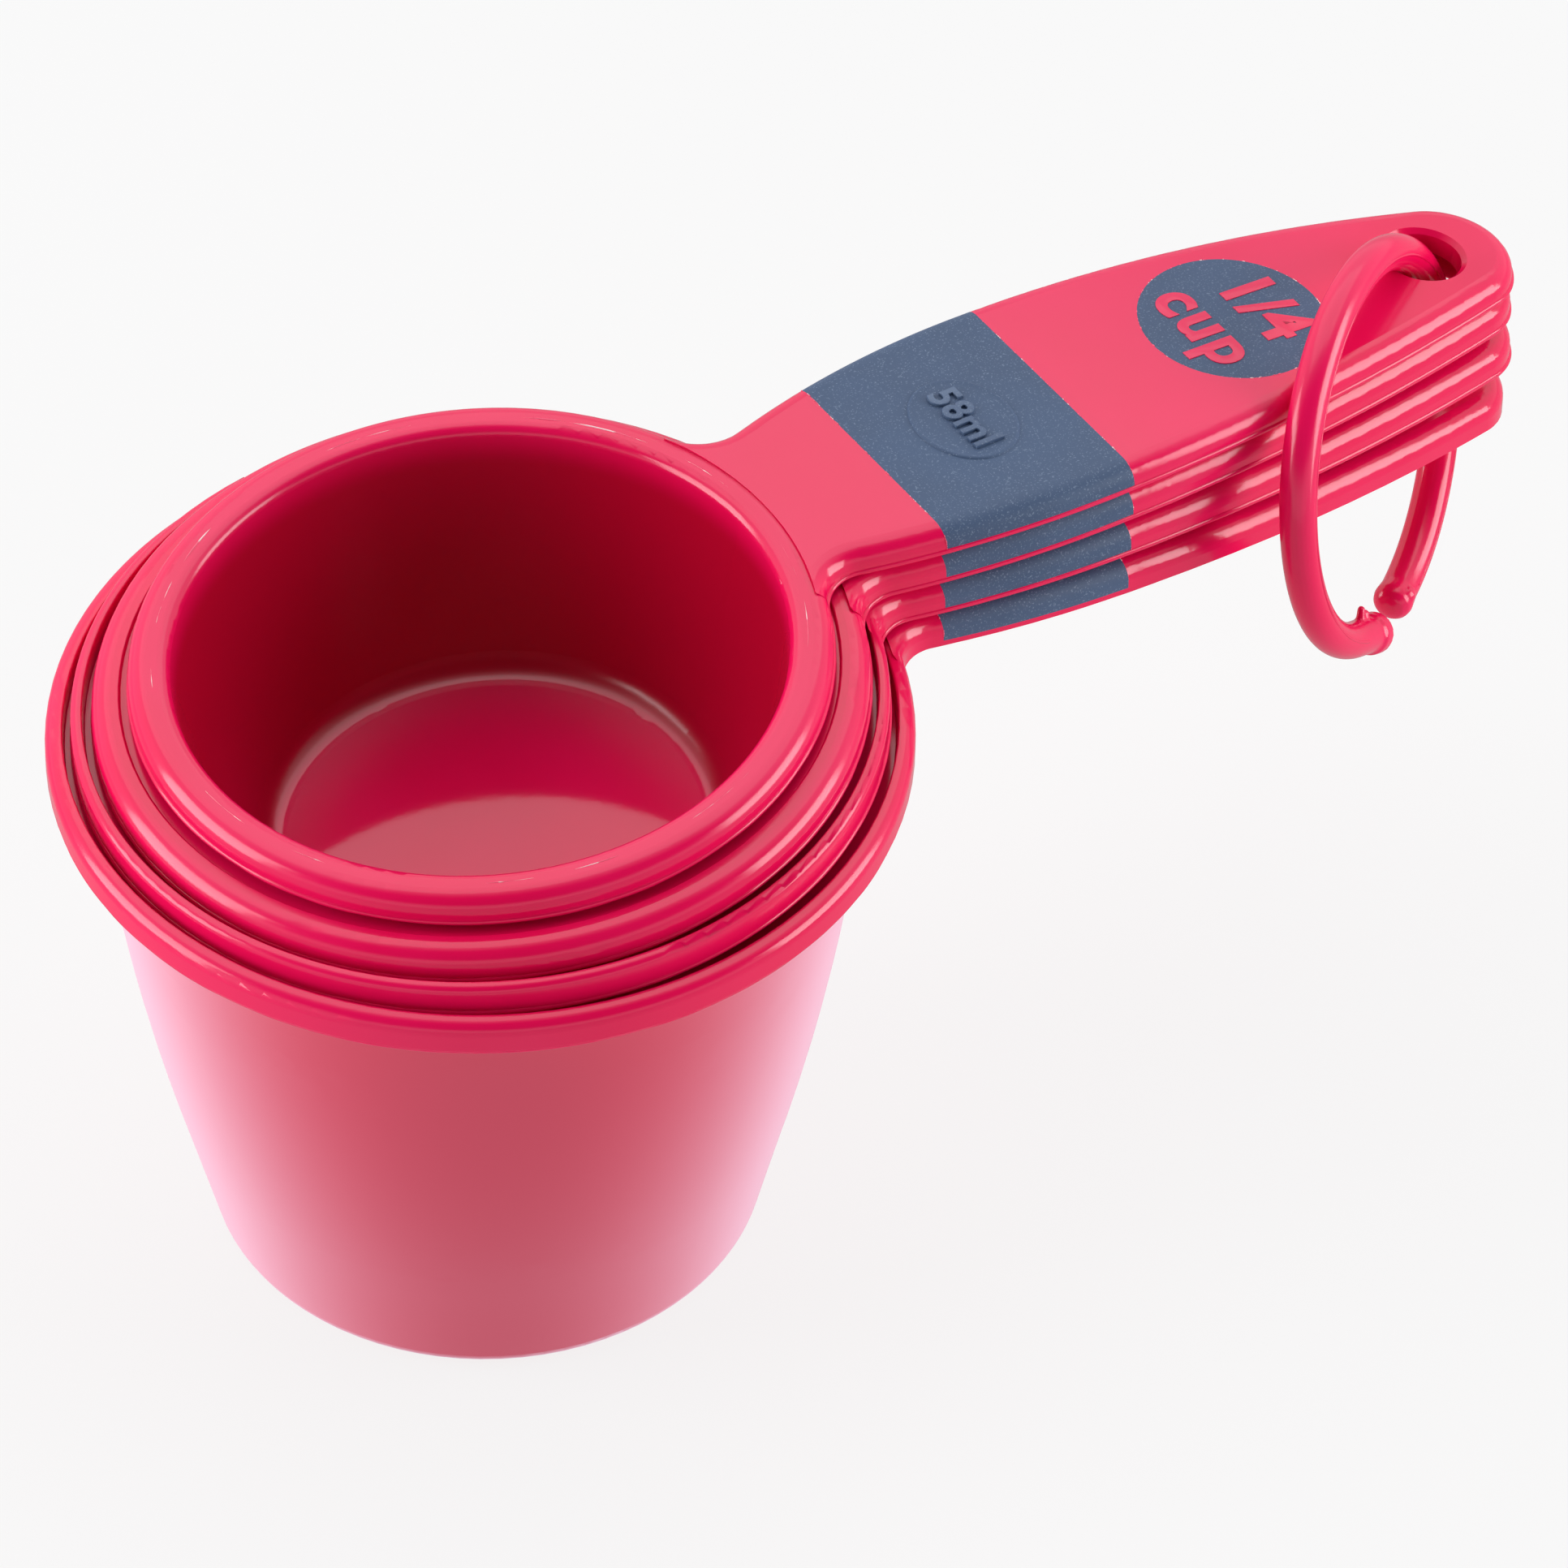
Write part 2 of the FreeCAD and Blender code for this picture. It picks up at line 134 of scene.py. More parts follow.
def noiseNode(tree, vector, scale, detail, roughness=0.5):
    node = tree.nodes.new("ShaderNodeTexNoise")
    tree.links.new(vector, node.inputs["Vector"])
    if hasattr(scale, "links"):
        tree.links.new(scale, node.inputs["Scale"])
    else:
        node.inputs["Scale"].default_value = scale
    node.inputs["Detail"].default_value = detail
    node.inputs["Roughness"].default_value = roughness
    return node.outputs["Fac"]


def rampBetween(tree, value, low, high):
    node = tree.nodes.new("ShaderNodeMapRange")
    node.interpolation_type = "SMOOTHSTEP"
    tree.links.new(value, node.inputs["Value"])
    for label, level in (("From Min", low), ("From Max", high)):
        if hasattr(level, "links"):
            tree.links.new(level, node.inputs[label])
        else:
            node.inputs[label].default_value = level
    return node.outputs["Result"]


def makeGrainGroup():
    # fine moulded grain, with a slow unevenness on top of it
    tree, start, end = shaderGroup(
        "mouldGrain",
        [("Grain Scale", "NodeSocketFloat", 1500.0), ("Wave Scale", "NodeSocketFloat", 60.0),
         ("Wave Share", "NodeSocketFloat", 0.5)],
        [("Height", "NodeSocketFloat"), ("Mottle", "NodeSocketFloat")],
    )
    place = tree.nodes.new("ShaderNodeTexCoord").outputs["Object"]
    grain = noiseNode(tree, place, start.outputs["Grain Scale"], 3.0, 0.6)
    wave = noiseNode(tree, place, start.outputs["Wave Scale"], 2.0)
    waves = mathNode(tree, "MULTIPLY", wave, start.outputs["Wave Share"])
    tree.links.new(mathNode(tree, "ADD", grain, waves), end.inputs["Height"])
    tree.links.new(wave, end.inputs["Mottle"])
    return tree


def makeFleckGroup():
    # sparse pale specks, such as dust or bits of flash
    tree, start, end = shaderGroup(
        "paleFlecks",
        [("Fleck Scale", "NodeSocketFloat", 900.0), ("Rarity", "NodeSocketFloat", 0.68)],
        [("Mask", "NodeSocketFloat")],
    )
    place = tree.nodes.new("ShaderNodeTexCoord").outputs["Object"]
    fine = noiseNode(tree, place, start.outputs["Fleck Scale"], 1.0)
    edge = mathNode(tree, "ADD", start.outputs["Rarity"], 0.05)
    tree.links.new(rampBetween(tree, fine, start.outputs["Rarity"], edge), end.inputs["Mask"])
    return tree


def makeBowlGroup():
    # tells a bowl's outer wall and its inside from the rest, with Place counted from the top of its own lip; the
    # wall takes a painted sheen and the inside a painted shade through these masks
    tree, start, end = shaderGroup(
        "bowlSides",
        [("Place", "NodeSocketVector", (0.0, 0.0, 0.0)), ("Lip Drop", "NodeSocketFloat", 0.0036),
         ("Mouth", "NodeSocketFloat", 0.03), ("Lip", "NodeSocketFloat", 0.04)],
        [("Outside", "NodeSocketFloat"), ("Inside", "NodeSocketFloat"), ("Bowl", "NodeSocketFloat")],
    )
    flat = tree.nodes.new("ShaderNodeVectorMath")
    flat.operation = "MULTIPLY"
    flat.inputs[1].default_value = (1.0, 1.0, 0.0)
    tree.links.new(start.outputs["Place"], flat.inputs[0])
    unit = tree.nodes.new("ShaderNodeVectorMath")
    unit.operation = "NORMALIZE"
    tree.links.new(flat.outputs[0], unit.inputs[0])
    facing = tree.nodes.new("ShaderNodeVectorMath")
    facing.operation = "DOT_PRODUCT"
    tree.links.new(unit.outputs[0], facing.inputs[0])
    geometry = tree.nodes.new("ShaderNodeNewGeometry")
    tree.links.new(geometry.outputs["Normal"], facing.inputs[1])
    outward = rampBetween(tree, facing.outputs["Value"], 0.2, 0.6)  # 1 faces straight out from the middle
    inward = rampBetween(tree, facing.outputs["Value"], -0.1, -0.6)
    split = tree.nodes.new("ShaderNodeSeparateXYZ")
    tree.links.new(start.outputs["Place"], split.inputs[0])
    depth = mathNode(tree, "MULTIPLY", split.outputs["Z"], -1.0)
    distance = tree.nodes.new("ShaderNodeVectorMath")
    distance.operation = "LENGTH"
    tree.links.new(flat.outputs[0], distance.inputs[0])
    underLip = mathNode(tree, "GREATER_THAN", depth, start.outputs["Lip Drop"])
    withinLip = mathNode(tree, "LESS_THAN", distance.outputs["Value"], start.outputs["Lip"])
    wall = mathNode(tree, "MULTIPLY", mathNode(tree, "MULTIPLY", outward, underLip), withinLip)
    tree.links.new(wall, end.inputs["Outside"])
    belowMouth = rampBetween(tree, depth, 0.0004, 0.0045)  # the painted shade of the inside comes in over 4 mm
    withinMouth = mathNode(tree, "LESS_THAN", distance.outputs["Value"], start.outputs["Mouth"])
    bowl = mathNode(tree, "MULTIPLY", belowMouth, withinMouth)
    tree.links.new(bowl, end.inputs["Bowl"])
    tree.links.new(mathNode(tree, "MULTIPLY", inward, bowl), end.inputs["Inside"])
    return tree


grainGroup = makeGrainGroup()
fleckGroup = makeFleckGroup()
bowlGroup = makeBowlGroup()


def placeGroup(tree, group, values):
    node = tree.nodes.new("ShaderNodeGroup")
    node.node_tree = group
    for label, value in values.items():
        node.inputs[label].default_value = value
    return node


def mixColor(tree, factor, first, second):
    node = tree.nodes.new("ShaderNodeMix")
    node.data_type = "RGBA"
    tree.links.new(factor, node.inputs[0])
    for index, color in ((6, first), (7, second)):  # the colour sockets A and B
        if hasattr(color, "links"):
            tree.links.new(color, node.inputs[index])
        else:
            node.inputs[index].default_value = (*color, 1.0)
    return node.outputs[2]


def mixFloat(tree, factor, first, second):
    node = tree.nodes.new("ShaderNodeMix")
    tree.links.new(factor, node.inputs[0])
    for index, value in ((2, first), (3, second)):  # the number sockets A and B
        if hasattr(value, "links"):
            tree.links.new(value, node.inputs[index])
        else:
            node.inputs[index].default_value = value
    return node.outputs[0]


def newMaterial(name):
    made = bpy.data.materials.new(name)
    made.use_nodes = True
    tree = made.node_tree
    return made, tree, tree.nodes["Principled BSDF"]


def addBump(tree, shader, height, strength, distance):
    bump = tree.nodes.new("ShaderNodeBump")
    bump.inputs["Strength"].default_value = strength
    bump.inputs["Distance"].default_value = distance
    tree.links.new(height, bump.inputs["Height"])
    tree.links.new(bump.outputs["Normal"], shader.inputs["Normal"])


plastic = {
    "color": (0.76, 0.004, 0.086),
    "deeper": (0.73, 0.003, 0.074),
    # painted sheen: the outer wall is coloured paler than the lip, for the frosty reflection on it
    "wallSheenColor": (0.62, 0.046, 0.098),
    # painted shade: the inside of a bowl is coloured darker, for the shade in its hollow
    "insideShadeColor": (0.43, 0.0012, 0.025),
    "glareColor": (0.92, 0.52, 0.68),  # the paler look of the outer wall where it turns away
    "glareShare": 0.95,
    "glareFrom": 0.40,
    "glareTo": 0.98,
    "lipMargin": 0.2,  # how far below the lip the painted wall sheen starts
    "mouthMargin": 0.6,
    "wallMargin": 0.5,
    "roughSpread": 0.03,
    "mottleFrom": 0.35,
    "mottleTo": 0.65,
    "waveShare": 2.0,
    "glossRoughness": 0.17,
    "floorRoughness": 0.06,
    "insideRoughness": 0.24,
    "wallRoughness": 0.34,
    "grainScale": 900.0,
    "waveScale": 45.0,
    "bumpStrength": 0.10,
    "bumpDistance": 0.00003,
}


def makePlastic(name, cup=None):
    made, tree, shader = newMaterial(name)
    grain = placeGroup(tree, grainGroup, {
        "Grain Scale": plastic["grainScale"], "Wave Scale": plastic["waveScale"],
        "Wave Share": plastic["waveShare"]})
    mottle = rampBetween(tree, grain.outputs["Mottle"], plastic["mottleFrom"], plastic["mottleTo"])
    color = mixColor(tree, mottle, plastic["deeper"], plastic["color"])
    rough = mixFloat(tree, mottle, plastic["glossRoughness"] - plastic["roughSpread"],
                     plastic["glossRoughness"] + plastic["roughSpread"])
    if cup is not None:
        level = tree.nodes.new("ShaderNodeMapping")
        level.vector_type = "TEXTURE"
        level.inputs["Location"].default_value = (0.0, 0.0, cup["crown"] * mm)
        level.inputs["Rotation"].default_value = (0.0, -math.radians(cup["tilt"]), 0.0)
        place = tree.nodes.new("ShaderNodeTexCoord")
        tree.links.new(place.outputs["Object"], level.inputs["Vector"])
        sides = placeGroup(tree, bowlGroup, {
            "Lip Drop": (cup["lipDrop"] + plastic["lipMargin"]) * mm,
            "Mouth": (cup["mouth"] + plastic["mouthMargin"]) * mm,
            "Lip": (cup["lip"] - plastic["wallMargin"]) * mm})
        tree.links.new(level.outputs["Vector"], sides.inputs["Place"])
        # painted sheen on the outer wall, paler still where the wall turns away, a painted reflection
        weight = tree.nodes.new("ShaderNodeLayerWeight")
        slant = rampBetween(tree, weight.outputs["Facing"], plastic["glareFrom"], plastic["glareTo"])
        glare = mathNode(tree, "MULTIPLY", slant, plastic["glareShare"])
        wall = mixColor(tree, glare, plastic["wallSheenColor"], plastic["glareColor"])
        color = mixColor(tree, sides.outputs["Outside"], color, wall)
        # painted shade: the inside of the bowl takes the darker colour
        color = mixColor(tree, sides.outputs["Inside"], color, plastic["insideShadeColor"])
        rough = mixFloat(tree, sides.outputs["Bowl"], rough, plastic["floorRoughness"])
        rough = mixFloat(tree, sides.outputs["Inside"], rough, plastic["insideRoughness"])
        rough = mixFloat(tree, sides.outputs["Outside"], rough, plastic["wallRoughness"])
    tree.links.new(color, shader.inputs["Base Color"])
    tree.links.new(rough, shader.inputs["Roughness"])
    shader.inputs["IOR"].default_value = 1.5
    addBump(tree, shader, grain.outputs["Height"], plastic["bumpStrength"], plastic["bumpDistance"])
    return made


rubber = {
    "color": (0.051, 0.085, 0.163),
    "lighter": (0.062, 0.100, 0.186),
    "fleck": (0.13, 0.18, 0.27),
    "roughness": 0.52,
    # painted highlight: the raised letters are coloured lighter than the grip, for the light they catch
    "markHighlightColor": (0.115, 0.165, 0.265),
    "markRoughness": 0.26,
    "fleckScale": 5200.0,
    "fleckRarity": 0.62,
    "specular": 0.3,
    "waveShare": 0.6,
    "grainScale": 2600.0,
    "waveScale": 110.0,
    "bumpStrength": 0.35,
    "bumpDistance": 0.00006,
}


def makeRubber(name, colors, roughness):
    made, tree, shader = newMaterial(name)
    grain = placeGroup(tree, grainGroup, {
        "Grain Scale": rubber["grainScale"], "Wave Scale": rubber["waveScale"],
        "Wave Share": rubber["waveShare"]})
    flecks = placeGroup(tree, fleckGroup, {"Fleck Scale": rubber["fleckScale"], "Rarity": rubber["fleckRarity"]})
    mottle = rampBetween(tree, grain.outputs["Mottle"], 0.3, 0.7)
    base = mixColor(tree, mottle, *colors)
    color = mixColor(tree, flecks.outputs["Mask"], base, rubber["fleck"])
    tree.links.new(color, shader.inputs["Base Color"])
    rough = mixFloat(tree, mottle, roughness - 0.05, roughness + 0.08)
    tree.links.new(rough, shader.inputs["Roughness"])
    shader.inputs["Specular IOR Level"].default_value = rubber["specular"]
    addBump(tree, shader, grain.outputs["Height"], rubber["bumpStrength"], rubber["bumpDistance"])
    return made


flash = {
    "color": (0.86, 0.10, 0.20),
    "pale": (0.90, 0.62, 0.66),
    "roughness": 0.42,
    "roughSpread": 0.1,
    "fleckScale": 420.0,
    "fleckRarity": 0.50,
    "grainScale": 1500.0,
    "waveScale": 200.0,
    "waveShare": 0.5,
    "bumpStrength": 0.3,
    "bumpDistance": 0.00005,
}


def makeFlash(name):
    # thin plastic left along the mould's parting lines, frosted where it was trimmed
    made, tree, shader = newMaterial(name)
    flecks = placeGroup(tree, fleckGroup, {"Fleck Scale": flash["fleckScale"], "Rarity": flash["fleckRarity"]})
    color = mixColor(tree, flecks.outputs["Mask"], flash["color"], flash["pale"])
    tree.links.new(color, shader.inputs["Base Color"])
    grain = placeGroup(tree, grainGroup, {
        "Grain Scale": flash["grainScale"], "Wave Scale": flash["waveScale"],
        "Wave Share": flash["waveShare"]})
    rough = mixFloat(tree, grain.outputs["Mottle"], flash["roughness"] - flash["roughSpread"],
                     flash["roughness"] + flash["roughSpread"])
    tree.links.new(rough, shader.inputs["Roughness"])
    addBump(tree, shader, grain.outputs["Height"], flash["bumpStrength"], flash["bumpDistance"])
    return made


cupPlastic = {
    name: makePlastic("cupPlastic_" + name, cup) for name, cup in cups.items()
}
ringPlastic = makePlastic("ringPlastic")
gripRubber = makeRubber("gripRubber", (rubber["color"], rubber["lighter"]), rubber["roughness"])
# the volume marks, coloured lighter as a painted highlight
markRubber = makeRubber("markRubber", (rubber["markHighlightColor"], rubber["lighter"]), rubber["markRoughness"])
trimFlash = makeFlash("trimFlash")
print("stage: materials made")


# ---- where things are on a cup ----

def halfWidth(x):
    radius = handle["nearRadius"] if x < handle["widestAt"] else handle["farRadius"]
    return handle["halfWidth"] - radius + math.sqrt(radius ** 2 - (x - handle["widestAt"]) ** 2)


def circlesMeet(first, firstRadius, second, secondRadius, upper):
    gap = second - first
    along = (gap.length ** 2 + firstRadius ** 2 - secondRadius ** 2) / (2 * gap.length)
    height = math.sqrt(firstRadius ** 2 - along ** 2)
    unit = gap.normalized()
    across = Vector((-unit.y, unit.x))
    found = sorted([first + unit * along + across * height * sign for sign in (1, -1)], key=lambda p: p.y)
    return found[1] if upper else found[0]


def bendHeight(cup, x, depth=0.0):
    # height of the handle's top at x, over the crown of its lip
    radius = handle["bendRadius"]
    start = Vector((cup["lip"] - 1.0, 0.0))
    end = Vector((handle["dropAt"], -handle["endDrop"]))
    centre = circlesMeet(start, radius, end, radius, False)
    return centre.y + math.sqrt((radius - depth) ** 2 - (x - centre.x) ** 2)


def inSet(cup, x, y, z):
    # from a cup's own level place to its place in the nested set, in metres
    turn = math.radians(cup["tilt"])
    return Vector((x * math.cos(turn) - z * math.sin(turn), y,
                   x * math.sin(turn) + z * math.cos(turn) + cup["crown"])) * mm


def onHandle(cup, x, y, height):
    return inSet(cup, x, y, bendHeight(cup, x) + height)


def arcPoints(centre, start, end, step):
    # the shorter way round from start to end, the first point left out
    first = start - centre
    second = end - centre
    turn = second.angle_signed(first)
    count = max(2, round(abs(turn) * first.length / step))
    return [centre + Matrix.Rotation(turn * k / count, 2) @ first for k in range(1, count + 1)]


def handleSide(cup, inset, step):
    # half of the handle's outline, from the lip to the tip, on the +Y side
    rim = cup["lip"] - inset
    neck = handle["neckRound"] + inset
    nearCentre = Vector((handle["widestAt"], handle["halfWidth"] - handle["nearRadius"]))
    farCentre = Vector((handle["widestAt"], handle["halfWidth"] - handle["farRadius"]))
    nearRadius = handle["nearRadius"] - inset
    neckCentre = circlesMeet(Vector((0, 0)), rim + neck, nearCentre, nearRadius + neck, True)
    onRim = neckCentre.normalized() * rim
    onSide = neckCentre + (nearCentre - neckCentre).normalized() * neck
    widest = Vector((handle["widestAt"], handle["halfWidth"] - inset))
    tipCentre = Vector((cup["reach"], 0.0))
    toward = tipCentre - farCentre
    tipRadius = handle["farRadius"] - toward.length - inset
    stop = farCentre + toward.normalized() * (handle["farRadius"] - inset)
    points = [onRim]
    points += arcPoints(neckCentre, onRim, onSide, step / 2)
    points += arcPoints(nearCentre, onSide, widest, step)
    points += arcPoints(farCentre, widest, stop, step)
    points += arcPoints(tipCentre, stop, tipCentre + Vector((tipRadius, 0.0)), step / 2)
    return points, onRim, onSide


def outlinePath(cup, inset, lift, step=0.8):
    # right round lip and handle, lift above their bottom edge
    side, onRim, onSide = handleSide(cup, inset, step)
    path = []
    for point in side:
        share = min(1.0, max(0.0, (point.x - onRim.x) / (onSide.x - onRim.x)))
        lipLevel = lift - cup["lipDrop"]
        handleLevel = bendHeight(cup, point.x) - cup["thick"] + lift
        path.append((point.x, point.y, lipLevel + (handleLevel - lipLevel) * share))
    mirrored = [(x, -y, z) for x, y, z in reversed(path[:-1])]
    startAngle = math.atan2(-onRim.y, onRim.x)
    sweep = -2 * math.pi - 2 * startAngle
    count = round(abs(sweep) * cup["lip"] / step)
    lip = []
    for k in range(1, count):
        angle = startAngle + sweep * k / count
        lip.append((onRim.length * math.cos(angle), onRim.length * math.sin(angle), lift - cup["lipDrop"]))
    return [inSet(cup, *point) for point in path + mirrored + lip]


# ---- geometry node trees ----

def nodeTree(name, inputs):
    tree = bpy.data.node_groups.new(name, "GeometryNodeTree")
    addSocket(tree, "Geometry", "INPUT", "NodeSocketGeometry")
    addSocket(tree, "Geometry", "OUTPUT", "NodeSocketGeometry")
    for label, kind, value in inputs:
        addSocket(tree, label, "INPUT", kind, value)
    return tree, tree.nodes.new("NodeGroupInput"), tree.nodes.new("NodeGroupOutput")


def finishTree(tree, start, end, geometry):
    # the last nodes of every tree
    smooth = tree.nodes.new("GeometryNodeSetShadeSmooth")
    realize = tree.nodes.new("GeometryNodeRealizeInstances")
    paint = tree.nodes.new("GeometryNodeSetMaterial")
    tree.links.new(geometry, smooth.inputs["Geometry"])
    tree.links.new(smooth.outputs[0], realize.inputs[0])
    tree.links.new(realize.outputs[0], paint.inputs["Geometry"])
    tree.links.new(start.outputs["Material"], paint.inputs["Material"])
    tree.links.new(paint.outputs[0], end.inputs["Geometry"])


def makeStrandTree():
    # a round strand along a path, its thickness wandering between two shares of its radius
    tree, start, end = nodeTree("strandAlongPath", [
        ("Radius", "NodeSocketFloat", 0.0003), ("Thinnest", "NodeSocketFloat", 1.0),
        ("Thickest", "NodeSocketFloat", 1.0), ("Wander Scale", "NodeSocketFloat", 300.0),
        ("Cut Level", "NodeSocketFloat", 0.36), ("Full Level", "NodeSocketFloat", 0.62),
        ("Sides", "NodeSocketInt", 8), ("Material", "NodeSocketMaterial", None)])
    curve = tree.nodes.new("GeometryNodeMeshToCurve")
    tree.links.new(start.outputs["Geometry"], curve.inputs["Mesh"])
    place = tree.nodes.new("GeometryNodeInputPosition").outputs[0]
    wander = noiseNode(tree, place, start.outputs["Wander Scale"], 2.0)
    spread = tree.nodes.new("ShaderNodeMapRange")
    tree.links.new(start.outputs["Cut Level"], spread.inputs["From Min"])
    tree.links.new(start.outputs["Full Level"], spread.inputs["From Max"])
    tree.links.new(wander, spread.inputs["Value"])
    tree.links.new(start.outputs["Thinnest"], spread.inputs["To Min"])
    tree.links.new(start.outputs["Thickest"], spread.inputs["To Max"])
    profile = tree.nodes.new("GeometryNodeCurvePrimitiveCircle")
    tree.links.new(start.outputs["Sides"], profile.inputs["Resolution"])
    tree.links.new(start.outputs["Radius"], profile.inputs["Radius"])
    sweep = tree.nodes.new("GeometryNodeCurveToMesh")
    sweep.inputs["Fill Caps"].default_value = True
    tree.links.new(curve.outputs[0], sweep.inputs["Curve"])
    tree.links.new(profile.outputs["Curve"], sweep.inputs["Profile Curve"])
    tree.links.new(spread.outputs["Result"], sweep.inputs["Scale"])
    finishTree(tree, start, end, sweep.outputs[0])
    return tree


def makeBitsTree():
    # small uneven slivers scattered along a path
    tree, start, end = nodeTree("bitsAlongPath", [
        ("Spacing", "NodeSocketFloat", 0.0006), ("Share", "NodeSocketFloat", 0.3),
        ("Smallest", "NodeSocketFloat", 0.00005), ("Largest", "NodeSocketFloat", 0.0002),
        ("Seed", "NodeSocketInt", 3), ("Material", "NodeSocketMaterial", None)])
    curve = tree.nodes.new("GeometryNodeMeshToCurve")
    tree.links.new(start.outputs["Geometry"], curve.inputs["Mesh"])
    points = tree.nodes.new("GeometryNodeCurveToPoints")
    points.mode = "LENGTH"
    tree.links.new(curve.outputs[0], points.inputs["Curve"])
    tree.links.new(start.outputs["Spacing"], points.inputs["Length"])
    chosen = tree.nodes.new("FunctionNodeRandomValue")
    chosen.data_type = "BOOLEAN"
    tree.links.new(start.outputs["Share"], chosen.inputs["Probability"])
    tree.links.new(start.outputs["Seed"], chosen.inputs["Seed"])
    large = tree.nodes.new("FunctionNodeRandomValue")
    tree.links.new(start.outputs["Smallest"], large.inputs[2])
    tree.links.new(start.outputs["Largest"], large.inputs[3])
    tree.links.new(start.outputs["Seed"], large.inputs["Seed"])
    shape = tree.nodes.new("ShaderNodeCombineXYZ")
    tree.links.new(large.outputs[1], shape.inputs[0])
    tree.links.new(mathNode(tree, "MULTIPLY", large.outputs[1], 0.7), shape.inputs[1])
    tree.links.new(mathNode(tree, "MULTIPLY", large.outputs[1], 2.2), shape.inputs[2])
    bit = tree.nodes.new("GeometryNodeMeshIcoSphere")
    bit.inputs["Radius"].default_value = 1.0
    bit.inputs["Subdivisions"].default_value = 1
    strewn = tree.nodes.new("GeometryNodeInstanceOnPoints")
    tree.links.new(points.outputs["Points"], strewn.inputs["Points"])
    tree.links.new(chosen.outputs[3], strewn.inputs["Selection"])
    tree.links.new(bit.outputs["Mesh"], strewn.inputs["Instance"])
    tree.links.new(points.outputs["Rotation"], strewn.inputs["Rotation"])
    tree.links.new(shape.outputs[0], strewn.inputs["Scale"])
    finishTree(tree, start, end, strewn.outputs[0])
    return tree


strandTree = makeStrandTree()
bitsTree = makeBitsTree()


def pathObject(name, runs, closed):
    # a mesh of edges only, one run of points after another
    points = []
    edges = []
    for run in runs:
        first = len(points)
        points += [tuple(point) for point in run]
        edges += [(first + k, first + k + 1) for k in range(len(run) - 1)]
        if closed:
            edges.append((len(points) - 1, first))
    mesh = bpy.data.meshes.new(name)
    mesh.from_pydata(points, edges, [])
    made = bpy.data.objects.new(name, mesh)
    scene.collection.objects.link(made)
    return made


def growAlong(name, runs, closed, tree, values):
    # runs a tree over a path and keeps the result as a plain mesh
    source = pathObject(name + "_path", runs, closed)
    modifier = source.modifiers.new("grow", "NODES")
    modifier.node_group = tree
    keys = {item.name: item.identifier for item in tree.interface.items_tree if item.in_out == "INPUT"}
    for label, value in values.items():
        modifier[keys[label]] = value
    graph = bpy.context.evaluated_depsgraph_get()
    mesh = bpy.data.meshes.new_from_object(source.evaluated_get(graph))
    mesh.name = name
    made = bpy.data.objects.new(name, mesh)
    scene.collection.objects.link(made)
    source.modifiers.clear()
    bpy.data.objects.remove(source)
    return made


def meshObject(name, mesh, material):
    made = bpy.data.objects.new(name, mesh)
    scene.collection.objects.link(made)
    mesh.materials.clear()
    mesh.materials.append(material)
    return made


def smoothShade(mesh, angle=None):
    for polygon in mesh.polygons:
        polygon.use_smooth = True
    if angle is not None:
        mesh.set_sharp_from_angle(angle=math.radians(angle))


def fasten(piece, body):
    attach(piece, body)


# ---- CAD nodes that are shown as they are ----

for name in cups:
    for node, material in (("cup_", cupPlastic[name]), ("grip_band_", gripRubber), ("label_disc_", gripRubber)):
        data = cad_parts[node + name].data
        data.materials.clear()
        data.materials.append(material)
print("stage: mouldings painted")


# ---- beads and flash along the lips ----

bead = {
    "radius": 0.34,
    "inset": 0.17,
    "lift": 0.33,
    "outerInset": 0.4,  # the whole cup's bead hangs below its edge instead
    "outerLift": 0.06,
    "wander": (0.88, 1.1),
    "wanderScale": 120.0,
    "sides": 10,
}
flashLine = {
    "radius": 0.075,
    "lineRadius": 32.4,
    "height": 0.0,
    "points": 420,
    "wander": (0.0, 1.0),
    "wanderScale": 170.0,
    "cutLevel": 0.53,  # below this much of the noise the line is broken
    "fullLevel": 0.66,
    "sides": 6,
}
farthest = cadBox[1][0] - bead["radius"] * bead["wander"][1] * mm

for name, cup in cups.items():
    if name == "full":
        edge = outlinePath(cup, bead["outerInset"], bead["outerLift"])
    else:
        edge = outlinePath(cup, bead["inset"], bead["lift"])
    edge = [Vector((min(point.x, farthest), point.y, point.z)) for point in edge]
    rimBead = growAlong("rim_bead_" + name, [edge], True, strandTree, {
        "Radius": bead["radius"] * mm, "Thinnest": bead["wander"][0], "Thickest": bead["wander"][1],
        "Wander Scale": bead["wanderScale"], "Sides": bead["sides"], "Material": cupPlastic[name]})
    fasten(rimBead, name + "_cup")

quarter = cups["quarter"]
turns = [2 * math.pi * k / flashLine["points"] for k in range(flashLine["points"])]
line = [inSet(quarter, flashLine["lineRadius"] * math.cos(a), flashLine["lineRadius"] * math.sin(a),
              flashLine["height"]) for a in turns]
lipFlash = growAlong("lip_flash_quarter", [line], True, strandTree, {
    "Radius": flashLine["radius"] * mm, "Thinnest": flashLine["wander"][0],
    "Thickest": flashLine["wander"][1], "Wander Scale": flashLine["wanderScale"],
    "Cut Level": flashLine["cutLevel"], "Full Level": flashLine["fullLevel"],
    "Sides": flashLine["sides"], "Material": trimFlash})
fasten(lipFlash, "quarter_cup")
print("stage: beads and flash lines made")


# ---- flash bits at the edges of the grips and label discs ----

bits = {"spacing": 0.3, "share": 0.3, "smallest": 0.02, "largest": 0.10, "firstSeed": 11}


